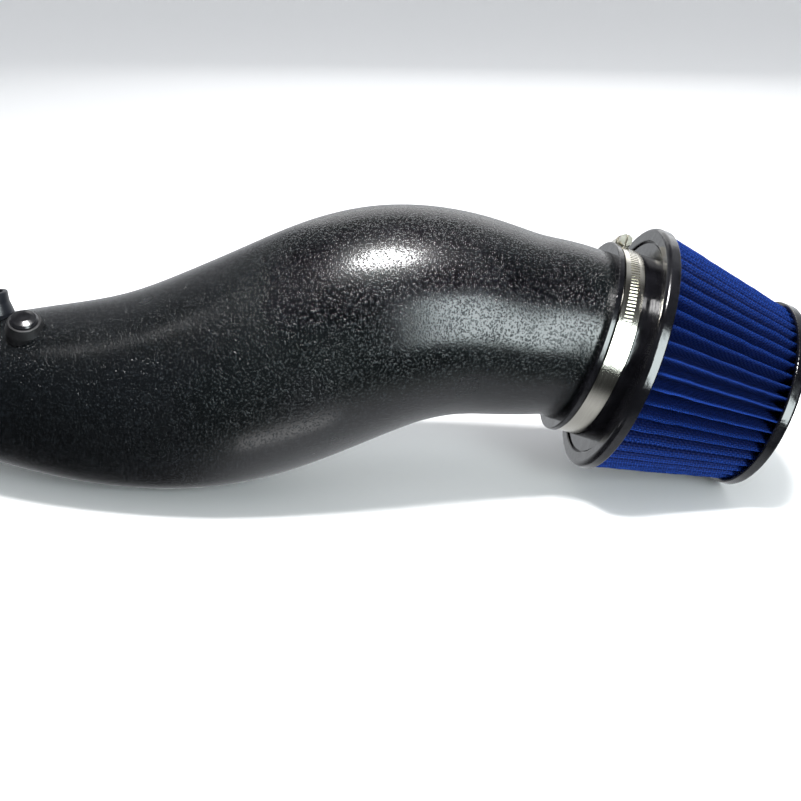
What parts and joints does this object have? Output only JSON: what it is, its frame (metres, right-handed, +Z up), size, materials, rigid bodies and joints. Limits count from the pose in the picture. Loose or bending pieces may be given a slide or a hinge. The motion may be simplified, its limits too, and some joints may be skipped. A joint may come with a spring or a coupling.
{
  "type": "cold air intake pipe",
  "caption": "Black blow-moulded S-shaped intake pipe with a blue pleated cone filter clamped to its wide end, a breather nipple and a blanked sensor grommet near its throttle spigot",
  "frame": {"origin": "middle of the bounding box, on the surface that the assembly lies on", "axes": "+X along the pipe from the throttle spigot to the filter's end cap, +Y to the rear, +Z up as the part lies"},
  "size_m": [0.5816, 0.1771, 0.1669],
  "materials": {
    "pipe_plastic": "blow-moulded black polyethylene with a coarse leather-like grain",
    "nipple_plastic": "smooth satin black",
    "grommet_rubber": "matt black rubber",
    "plug_plastic": "glossy black",
    "filter_rubber": "moulded black polyurethane rubber with a satin sheen",
    "pleated_gauze": "oiled deep blue cotton gauze under a fine wire screen",
    "cage_metal": "plain perforated sheet",
    "band_steel": "polished stainless strip",
    "screw_steel": "zinc-plated steel"
  },
  "bodies": {
    "root": {"intake_pipe": "pipe_plastic", "breather_nipple": "nipple_plastic", "sensor_grommet": "grommet_rubber", "sensor_plug": "plug_plastic", "filter_base": "filter_rubber", "filter_media": "pleated_gauze", "inner_cage": "cage_metal", "filter_end_cap": "filter_rubber", "clamp_band": "band_steel", "clamp_housing": "band_steel", "clamp_screw": "screw_steel"}
  },
  "joints": []
}
